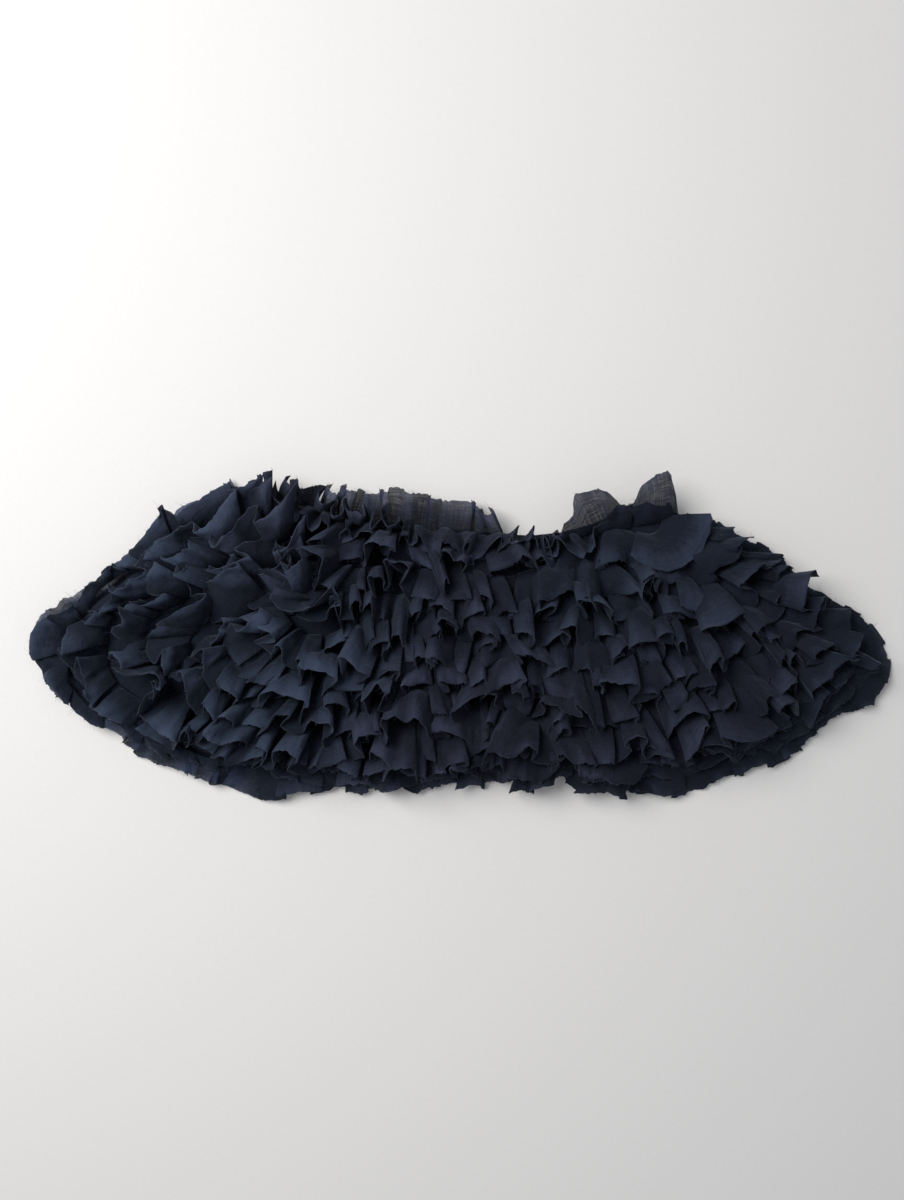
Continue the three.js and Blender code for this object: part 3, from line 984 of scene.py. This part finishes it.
def add_ruffle(
        node, seam, fall, seat, material, slot, rests_on, thickness=CLOTH_THICKNESS, name=None,
        **shape):
    points, flat, worn_and_shaded = strip_points(seam, fall, seat, **shape)
    strip = add_sheet(name or node + "_cloth", points, flat, worn_and_shaded, thickness)
    dress(strip, material)
    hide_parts(node)
    cut = (flat[-1, -1, 1] * MM, flat[-1, -1, 0] * MM)
    raw_edges.append((points[-1], points[-1] - points[-3]))
    triangles = 2 * len(strip.data.polygons)
    print(strip.name, "cut", round(cut[0] / MM, 1), "by", round(cut[1] / MM), "mm, area ratio",
          round(mesh_area(strip) / 2 / (cut[0] * cut[1]), 2), "triangles", triangles)
    return strip


# %% [markdown]
# The eleven front rows. A row's table holds its share of the seam, how far out and up its free
# edge lies there, and how deep its pleats are. Most rows share one table. The outermost row lies
# flat at the lower left and the lower right, so that the hem ruffle of the back half shows past
# it, and is short at the end of the left arm.

# %% The front rows
FULL_ROW = [(0, 20, 14, 5.6), (0.93, 20, 14, 5.6), (1, 22, 9, 4.4)]
ROW_FALLS = {
    1: [
        (0, 18, 15, 5.0),
        (0.15, 18, 9, 4.6),
        (0.45, 18, 9, 4.6),
        (0.6, 19, 14, 5.0),
        (0.85, 22, 11, 3.8),
        (1, 27, 9, 3.4),
    ],
    2: [(0, 19, 16, 5.4), (0.9, 20, 15, 5.4), (1, 24, 10, 4.0)],
    10: [
        (0, 18, 12, 4.8),
        (0.22, 18, 11, 4.8),
        (0.27, 13.5, 9, 4.4),
        (0.45, 13.5, 9, 4.4),
        (0.50, 18, 11, 4.6),
        (0.75, 18, 11, 4.6),
        (0.82, 14, 8, 3.4),
        (0.93, 15, 9, 3.6),
        (1, 19, 7, 3.6),
    ],
    11: [
        (0, 15.5, 6, 4.0),
        (0.13, 15.5, 5.3, 3.7),
        (0.142, 8, 3, 2.4),
        (0.168, 8, 3, 2.4),
        (0.19, 15.5, 5, 3.6),
        (0.25, 14, 0, 1.8),
        (0.275, 7, -2, 1.0),
        (0.46, 7, -2, 1.0),
        (0.52, 14.5, -3, 2.8),
        (0.76, 14.5, -3, 2.8),
        (0.82, 9.5, -3, 1.0),
        (0.93, 9.5, -2, 1.2),
        (1, 16, -1, 1.6),
    ],
}
START_SWING = 0.4
SHORT_START_SWING = 0.2
END_SWING = 0.15
NECK_ROW_SHIFT = np.array([0.0, 3.0])

for row in range(1, ROW_COUNT + 1):
    inner = ROW_COUNT - row
    start_swing = START_SWING if inner < ARM_ROWS else SHORT_START_SWING
    seam = front_seam(inner) + (NECK_ROW_SHIFT if row == 1 else 0)
    add_ruffle(
        f"front_ruffle_{row:02d}", seam, row_fall(ROW_FALLS.get(row, FULL_ROW)), yoke_height,
        cotton, "navy_cotton", "front_yoke", seed=100 * row,
        swing=(start_swing, END_SWING))

# %% [markdown]
# The neck ruffle differs most along its length, so its pleats are listed one by one, from the right
# shoulder to the left. At the right shoulder it opens into two wide thin flaps. At the notch it
# stands on edge in tight curls, in the middle it falls forward over the first row, and at the
# left it stands up crumpled. Each line is one pleat: its width on the seam, its kind, how far out
# and up its free edge lies, how deep it is, its turn, and 1 or 0 for folded to the other side. In
# the two flaps a fourth column gives each fold's own length. The strip is double: the second
# table is its front layer, which curls forward all along.

# %% The pleats of the neck ruffle
OUTER_FLAP = [
    (0.00, 0.03, -0.30, 0.30),
    (0.05, 0.03, 0.10, 0.62),
    (0.16, 0.10, 0.35, 0.95),
    (0.28, 0.25, 0.80, 1.08),
    (0.44, 0.42, 0.45, 1.03),
    (0.60, 0.60, 0.95, 1.02),
    (0.78, 0.82, 0.50, 0.84),
    (0.92, 0.96, 0.05, 0.58),
    (0.97, 0.98, -0.40, 0.45),
]
INNER_FLAP = [
    (0.00, 0.03, -0.40, 0.35),
    (0.05, 0.06, 0.00, 0.60),
    (0.14, 0.15, 0.50, 0.92),
    (0.27, 0.27, 0.95, 1.08),
    (0.42, 0.44, 0.30, 0.96),
    (0.58, 0.60, 0.75, 0.96),
    (0.74, 0.78, 0.20, 0.98),
    (0.88, 0.94, 0.80, 0.94),
    (0.95, 1.04, 0.30, 0.86),
    (0.90, 0.92, -0.50, 0.80),
]
NECK_PLEATS = [
    (40, OUTER_FLAP, 25, 9, 7.0, -0.05, 0),
    (69, INNER_FLAP, 24, 10, 7.0, 0.28, 0),
    (13, LOOP, -3, 14, 7.5, 0.3, 0),
    (8, KNIFE, -8, 12, 7.0, 0.5, 0),
    (17, LOOP, 2, 15, 8.0, -0.4, 1),
    (12, CONE, -8, 13, 7.0, 0.2, 0),
    (26, WAVE, -9, 17, 10.0, -0.3, 0),
    (13, KNIFE, -15, 13, 7.5, 0.35, 1),
    (29, WAVE, -11, 17, 11.0, 0.0, 1),
    (13, LOOP, -4, 14, 7.0, 0.1, 1),
    (17, LOOP, 8, 12, 7.0, 0.3, 0),
    (13, WAVE, 3, 13, 7.5, -0.3, 1),
    (19, LOOP, 9, 11, 7.0, 0.2, 0),
    (14, BOX, 5, 13, 7.0, 0.0, 0),
    (20, LOOP, 11, 10, 6.5, -0.2, 1),
    (18, WAVE, 11, 9, 5.0, 0.1, 1),
    (14, BOX, 9, 9, 4.0, -0.2, 0),
]
NECK_CURLS = [
    (34, WIDE, 9, 4, 3.0, 0.3, 0),
    (30, WIDE, 15, 5, 4.0, -0.2, 1),
    (16, WAVE, -6, 13, 8.0, 0.2, 0),
    (11, LOOP, -9, 13, 7.0, 0.6, 1),
    (7, TUBE, -3, 14, 6.5, -0.5, 0),
    (17, LOOP, -9, 13, 8.0, 0.3, 0),
    (13, WAVE, -9, 13, 7.0, 0.4, 0),
    (27, WIDE, -11, 12, 7.0, -0.2, 1),
    (18, WAVE, -10, 13, 8.0, 0.2, 0),
    (24, WIDE, -12, 11, 7.0, 0.0, 0),
    (12, LOOP, -9, 13, 7.0, -0.4, 1),
    (16, WAVE, -12, 12, 8.0, 0.3, 0),
    (13, LOOP, -8, 13, 7.0, -0.5, 1),
    (18, LOOP, -12, 12, 7.0, 0.4, 0),
    (12, CONE, -7, 13, 7.0, 0.0, 1),
    (17, LOOP, -10, 12, 7.0, -0.3, 0),
    (12, CONE, -4, 12, 6.0, 0.2, 0),
]
BACK_NECK_PLEATS = [
    (11, LOOP, 20, 9, 6.0, 0.35, 0),
    (13, WAVE, 24, 7, 5.5, 0.15, 0),
    (20, WIDE, 23, 9, 5.0, 0.00, 1),
    (10, KNIFE, 25, 7, 5.0, -0.10, 0),
    (16, WAVE, 24, 8, 6.0, 0.05, 0),
    (9, TUBE, 25, 7, 5.0, 0.10, 1),
    (15, WIDE, 23, 9, 5.0, -0.10, 0),
    (13, LOOP, 22, 10, 6.0, 0.10, 1),
    (14, LOOP, 20, 10, 6.0, -0.10, 0),
]


def placed_folds(pleats, length):
    """Fold lines of pleats listed one by one, scaled to fill the seam."""
    rows = []
    scale = length / sum(pleat[0] for pleat in pleats)
    start = 0.0
    for width, kind, out, rise, lift, turn, mirror in pleats:
        folds = np.array(kind)
        if folds.shape[1] == 3:
            folds = np.column_stack([folds, np.ones(len(folds))])
        if mirror:
            folds = mirrored(folds)
        width *= scale
        sewn, free, height, reach = folds.T
        rows.append(side_by_side(
            start + sewn * width, start + free * width, height * lift, reach, turn, 0))
        start += width
    return np.vstack(rows)


def pleats_fall(pleats):
    """The fall that goes with pleats listed one by one."""
    widths = np.array([pleat[0] for pleat in pleats], float)
    middles = (np.cumsum(widths) - widths / 2) / widths.sum()
    sizes = np.array([pleat[2:5] for pleat in pleats], float)

    def fall(share, xy):
        out, rise, lift = (np.interp(share, middles, sizes[:, k]) for k in range(3))
        return side_by_side(out, rise, lift, *np.zeros(MESS - LIFT))

    return fall


print("pleats:", len(NECK_PLEATS), "behind,", len(NECK_CURLS), "in front,", len(BACK_NECK_PLEATS),
      "on the back half")

# %% [markdown]
# The front neck ruffle stands past the shoulder at the right, so the light comes through its two
# large flaps, and they are given the thin cloth. Behind it the ruffle of the back half shows past
# the neckline, low and thinnest. The folds of a neck ruffle are rounder than those of the rows.

# %% The neck ruffles
FRONT_NECK_SEAM = [
    (124, 65), (104, 62), (84, 57.5), (66, 54), (48, 53),
    (0, 57.5), (-42, 60.5), (-70, 66), (-90, 73), (-103, 78),
]
BACK_NECK_SEAM = [(30, 51), (0, 52), (-42, 55), (-66, 60), (-84, 66)]
BACK_HALF_HEIGHT = 2.0
SHEER_FROM_X = 41.0
NECK_SOFTNESS = 1.9
NECK_WANDER = 0.3
NECK_STEEPEST = 2.9


def change_cloth(piece, material, from_x):
    """Give another cloth to the faces to the right of a place along the collar, in mm."""
    piece.data.materials.append(material)
    centres = np.empty(len(piece.data.polygons) * 3)
    piece.data.polygons.foreach_get("center", centres)
    past = centres.reshape(-1, 3)[:, 0] > from_x * MM
    piece.data.polygons.foreach_set("material_index", past.astype(int))
    print(piece.name, "faces of", material.name, int(past.sum()))


neck_seam = smooth_line(FRONT_NECK_SEAM) + ORIGIN_SHIFT
for name, pleats, seed in (
        ("front_neck_ruffle_cloth", NECK_PLEATS, 2100),
        ("front_neck_ruffle_curls", NECK_CURLS, 2150)):
    layer = add_ruffle(
        "front_neck_ruffle", neck_seam, pleats_fall(pleats), yoke_height, cotton, "navy_cotton",
        "front_yoke", name=name, seed=seed, plan=pleats, wander=NECK_WANDER,
        steepest=NECK_STEEPEST, softness=NECK_SOFTNESS)
    if pleats is NECK_PLEATS:
        change_cloth(layer, sheer_cotton, SHEER_FROM_X)
add_ruffle(
    "back_neck_ruffle", smooth_line(BACK_NECK_SEAM) + ORIGIN_SHIFT, pleats_fall(BACK_NECK_PLEATS),
    lambda xy: np.full(len(xy), BACK_HALF_HEIGHT), thinnest_cotton, "sheer_cotton",
    "back_half_layers", thickness=THIN_CLOTH, seed=2200, plan=BACK_NECK_PLEATS, rough=0.6,
    softness=NECK_SOFTNESS)

# %% [markdown]
# The hem ruffle of the back half comes out all round on the surface. It lies nearly flat, in wide
# shallow pleats whose corners stick out. At the left the light comes through it, and from the
# lower left on it lies double on the next strip, so it has the common cloth there. Its table holds
# its share of the seam and then all ten columns of a fall.

# %% The hem ruffle
HEM_LINE = [
    (-118, 76), (-143, 67), (-168, 50), (-195, 29), (-216, 14), (-229, 1),
    (-229, -13), (-216, -31), (-195, -47), (-168, -61), (-143, -71), (-118, -78), (-98, -80),
    (-72, -78), (-42, -76), (0, -75), (48, -75), (84, -77), (106, -79), (128, -78),
    (152, -73), (177, -62), (202, -48), (219, -35), (229, -23),
    (229, -7), (219, 4), (202, 20), (177, 41), (152, 57), (128, 67),
]
BACK_HEM_FALL = [
    (0.00, 17, 2.4, 1.2, 18, -0.3, -0.3, 0.0, -0.6, -0.3, 1.0),
    (0.07, 17, 2.4, 1.2, 18, -0.3, -0.3, 0.0, -0.6, -0.3, 1.0),
    (0.10, 14, 2.0, 1.0, 14, -0.3, -0.1, 0.0, -0.4, 0.0, 0.8),
    (0.15, 14, 2.0, 1.0, 14, -0.2, 0.0, 0.0, -0.4, 0.0, 0.8),
    (0.19, 18, 2.0, 1.0, 20, -0.1, 0.0, 0.0, -0.4, 0.0, 0.6),
    (0.22, 17, 2.0, 1.0, 20, -0.1, 0.0, 0.0, -0.4, 0.0, 0.5),
    (0.28, 19, 2.0, 1.0, 16, -0.1, 0.0, 0.0, -0.4, 0.0, 0.5),
    (0.45, 19, 2.0, 1.0, 16, -0.1, 0.0, 0.0, -0.4, 0.0, 0.5),
    (0.52, 16, 2.0, 1.2, 10, 0.0, 0.0, 0.0, 0.0, 0.0, 1.0),
    (0.60, 17, 2.0, 1.2, 12, 0.0, 0.0, 0.0, 0.0, 0.0, 1.0),
    (0.70, 18, 2.0, 1.0, 22, 0.1, 0.0, 0.0, 0.4, 0.0, 0.6),
    (0.79, 14, 2.0, 1.0, 14, 0.1, 0.0, 0.0, 0.4, 0.0, 0.6),
    (0.83, 21, 2.0, 1.0, 9, 0.0, 0.0, 0.0, 0.4, 0.0, 0.7),
    (0.88, 12, 2.0, 1.0, 14, 0.0, 0.0, 0.0, 0.4, 0.0, 0.7),
    (1.00, 9, 2.0, 1.0, 14, 0.0, 0.0, 0.0, 0.4, 0.0, 0.7),
]
OPAQUE_HEM_FROM_X = -115
HEM_HEIGHT = 0.9
HEM_INSET = 7.0

hem_seam = smooth_line(HEM_LINE) + ORIGIN_SHIFT
along_hem = unit(np.gradient(hem_seam, axis=0))
hem_seam -= HEM_INSET * np.column_stack([along_hem[:, 1], -along_hem[:, 0]])
hem_ruffle = add_ruffle(
    "back_hem_ruffle", hem_seam, table_fall(BACK_HEM_FALL),
    lambda xy: np.full(len(xy), HEM_HEIGHT), thinnest_cotton, "sheer_cotton", "back_half_layers",
    thickness=THIN_CLOTH, seed=2300, rough=0.35, wander=0.5)
change_cloth(hem_ruffle, cotton, OPAQUE_HEM_FROM_X)

# %% [markdown]
# The yoke and the pile of hidden layers keep their shape from the frame. A copy of each is welded,
# given a finer mesh, and puckered a little by its seams.

# %% The yoke and the hidden layers
WELD = 0.02
PUCKER_DEPTH = 0.25
PUCKER_SIZE = 9
PUCKER_ABOVE = 1.0
PUCKER_SEED = 40
CREASE_ANGLE = 40
FAR_FROM_EDGE = 10.0
# The flat yoke and hidden layers get one low value of the fading and painted shade.
FLAT_FADE_AND_SHADE = 0.2
YOKE_CUT = (0.14, 0.45)
LAYERS_CUT = (0.16, 0.46)


def copy_node(node, name):
    bpy.ops.object.select_all(action="DESELECT")
    piece = frame["nodes"][node].copy()
    piece.data = piece.data.copy()
    piece.name = name
    piece.data.name = name
    piece.parent = None
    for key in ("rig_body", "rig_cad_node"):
        del piece[key]
    bpy.context.scene.collection.objects.link(piece)
    piece.select_set(True)
    bpy.context.view_layer.objects.active = piece
    bpy.ops.object.mode_set(mode="EDIT")
    bpy.ops.mesh.select_all(action="SELECT")
    bpy.ops.mesh.remove_doubles(threshold=WELD * MM)
    bpy.ops.mesh.subdivide(number_cuts=1)
    bpy.ops.mesh.normals_make_consistent(inside=False)
    bpy.ops.object.mode_set(mode="OBJECT")
    return piece


def pucker(mesh):
    """Dent all of a mesh but its underside, which rests flat."""
    places = vertex_places(mesh)
    note_cloth(mesh, places[:, :2], FAR_FROM_EDGE, FLAT_FADE_AND_SHADE)
    dent = dents(places, PUCKER_DEPTH, PUCKER_SIZE, PUCKER_SEED)
    places[:, 2] += np.where(places[:, 2] > PUCKER_ABOVE, dent, 0)
    move_vertices(mesh, places)


for node, material, slot, cut, below in (
        ("front_yoke", cotton, "navy_cotton", YOKE_CUT, "back_half_layers"),
        ("back_half_layers", hidden_cotton, "navy_cotton_layers", LAYERS_CUT, "floor")):
    shell = copy_node(node, node + "_cloth")
    pucker(shell.data)
    bpy.ops.object.shade_smooth_by_angle(angle=math.radians(CREASE_ANGLE))
    dress(shell, material)
    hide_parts(node)

# %% [markdown]
# The strips were cut and never hemmed, so threads have come loose all along their raw edges. Each
# is a thin bent rod of three sides, and all of them are one mesh, made from arrays.

# %% Loose threads
THREAD_EVERY = 3.5
THREAD_RADIUS = 0.07
THREAD_TAPER = 0.5
THREAD_RINGS = 4
THREAD_SIDES = 3
THREAD_LIMITS = (0.5, 3.5)
MEAN_THREAD = 1.1
THREAD_ROOT = 0.3
THREAD_STRAY = 0.45
THREAD_BEND = 0.35


def thread_roots(edges, rng):
    """Random places along the raw edges, and the way that the cloth runs out there."""
    roots, ways = [], []
    for line, way in edges:
        along = travelled(line)
        places = rng.uniform(0, along[-1], int(along[-1] / THREAD_EVERY))
        roots.append(place_on(line, along, places))
        ways.append(place_on(way, along, places))
    return np.vstack(roots), unit(np.vstack(ways))


def thread_points(roots, ways, rng):
    """The rings of three points of every thread, thread by thread."""
    ways = unit(ways + rng.normal(0, THREAD_STRAY, ways.shape))
    bends = rng.normal(0, THREAD_BEND, ways.shape)
    lengths = np.clip(rng.exponential(MEAN_THREAD, len(roots)), *THREAD_LIMITS)[:, None]
    side = unit(np.cross(ways, rng.normal(size=ways.shape)))
    other = np.cross(ways, side)
    points = []
    for share in np.linspace(0, 1, THREAD_RINGS):
        middle = roots + ways * (share * lengths - THREAD_ROOT) + bends * lengths * share ** 2
        radius = THREAD_RADIUS * (1 - THREAD_TAPER * share)
        for turn in range(THREAD_SIDES):
            angle = turn * 2 * math.pi / THREAD_SIDES
            points.append(middle + radius * (side * math.cos(angle) + other * math.sin(angle)))
    return np.stack(points, axis=1).reshape(-1, 3)


def thread_faces(count):
    walls = []
    for low in range(0, THREAD_SIDES * (THREAD_RINGS - 1), THREAD_SIDES):
        for a in range(THREAD_SIDES):
            b = (a + 1) % THREAD_SIDES
            walls.append((low + a, low + b, low + THREAD_SIDES + b, low + THREAD_SIDES + a))
    last = THREAD_SIDES * (THREAD_RINGS - 1)
    ends = [(2, 1, 0), (last, last + 1, last + 2)]
    offset = np.arange(count)[:, None, None] * THREAD_SIDES * THREAD_RINGS
    walls = (np.array(walls)[None] + offset).reshape(-1, 4)
    ends = (np.array(ends)[None] + offset).reshape(-1, 3)
    return walls.tolist() + ends.tolist()


def add_threads(name, edges, seed):
    rng = np.random.default_rng(seed)
    roots, ways = thread_roots(edges, rng)
    points = thread_points(roots, ways, rng)
    points[:, 2] = np.maximum(points[:, 2], LOWEST)
    mesh = bpy.data.meshes.new(name)
    mesh.from_pydata((points * MM).tolist(), [], thread_faces(len(roots)))
    # Loose threads take the palest value of the fading and painted highlight.
    note_cloth(mesh, np.zeros((len(points), 2)), from_edge=0, faded_and_shaded=1)
    piece = bpy.data.objects.new(name, mesh)
    bpy.context.scene.collection.objects.link(piece)
    print(name, len(roots), "threads", 2 * len(mesh.polygons) - 2 * len(roots), "triangles")
    return piece


dress(add_threads("loose_threads", raw_edges, seed=77), cotton)

# %% [markdown]
# The picture is taken from straight above. The floor is a plain pale board. The scale of the
# picture was taken at the ruffles, which stand above the floor, so the camera is raised by that.

# %% Floor and camera
FLOOR_SIZE = 3.0
FLOOR_SINK = 0.0002
FLOOR_GRAIN_SCALE = 420.0
BOARD_DARK = (0.772, 0.76, 0.744)
BOARD_PALE = (0.812, 0.80, 0.786)
IMAGE_SIZE = (904, 1200)
OBJECT_MIDDLE_PIXEL = (458.5, 634.5)
SURFACE_PER_PIXEL = 0.5517 * MM
RUFFLE_HEIGHT = 0.02
CAMERA_LENS = 30.0
SENSOR = 36.0

bpy.ops.object.select_all(action="DESELECT")
bpy.ops.mesh.primitive_plane_add(size=FLOOR_SIZE, location=(0, 0, -FLOOR_SINK))
floor = bpy.context.object
floor.name = "floor"
board = Shader("pale_board")
grain = board.noise(board.add("ShaderNodeTexCoord", output="Object"), FLOOR_GRAIN_SCALE, 3.0)
board.set(
    Base_Color=board.mix(grain, colour(BOARD_DARK), colour(BOARD_PALE)), Roughness=0.7,
    Specular_IOR_Level=0.2)
floor.data.materials.append(board.material)

camera_height = IMAGE_SIZE[1] * SURFACE_PER_PIXEL * CAMERA_LENS / SENSOR + RUFFLE_HEIGHT
camera_x = (IMAGE_SIZE[0] / 2 - OBJECT_MIDDLE_PIXEL[0]) * SURFACE_PER_PIXEL + ORIGIN_SHIFT[0] * MM
camera_y = (OBJECT_MIDDLE_PIXEL[1] - IMAGE_SIZE[1] / 2) * SURFACE_PER_PIXEL + ORIGIN_SHIFT[1] * MM
bpy.ops.object.camera_add(location=(camera_x, camera_y, camera_height), rotation=(0, 0, 0))
camera = bpy.context.object
camera.name = "camera"
camera.data.lens = CAMERA_LENS
camera.data.sensor_width = SENSOR
camera.data.sensor_fit = "AUTO"
bpy.context.scene.camera = camera
print("camera at", [round(c, 3) for c in camera.location])

# %% [markdown]
# The light is soft daylight from the upper left: a large disk close by, so that the floor grows
# darker towards the lower right, and a dim sky all round that fills the shadows.

# %% Light
SKY_COLOUR = (0.93, 0.95, 1.0)
SKY_STRENGTH = 0.36
WINDOW_PLACE = (-0.62, 0.40, 0.92)
WINDOW_SIZE = 0.8
WINDOW_POWER = 13.0
WINDOW_COLOUR = (1.0, 0.993, 0.982)

world = bpy.data.worlds.new("room")
bpy.context.scene.world = world
world.use_nodes = True
sky = world.node_tree.nodes["Background"]
sky.inputs["Color"].default_value = colour(SKY_COLOUR)
sky.inputs["Strength"].default_value = SKY_STRENGTH

bpy.ops.object.light_add(type="AREA", location=WINDOW_PLACE)
window = bpy.context.object
window.name = "window"
window.data.shape = "DISK"
window.data.size = WINDOW_SIZE
window.data.energy = WINDOW_POWER
window.data.color = WINDOW_COLOUR
x, y, z = WINDOW_PLACE
window.rotation_euler = (math.atan2(math.hypot(x, y), z), 0, math.atan2(-y, -x) - math.pi / 2)
print("window at", WINDOW_PLACE, "with", WINDOW_POWER, "watts")

# %% [markdown]
# Last, the view transform is set to Standard. It may stand a little proud of the solid model
# and no more.

# %% Finish
scene = bpy.context.scene
scene.view_settings.view_transform = "Standard"
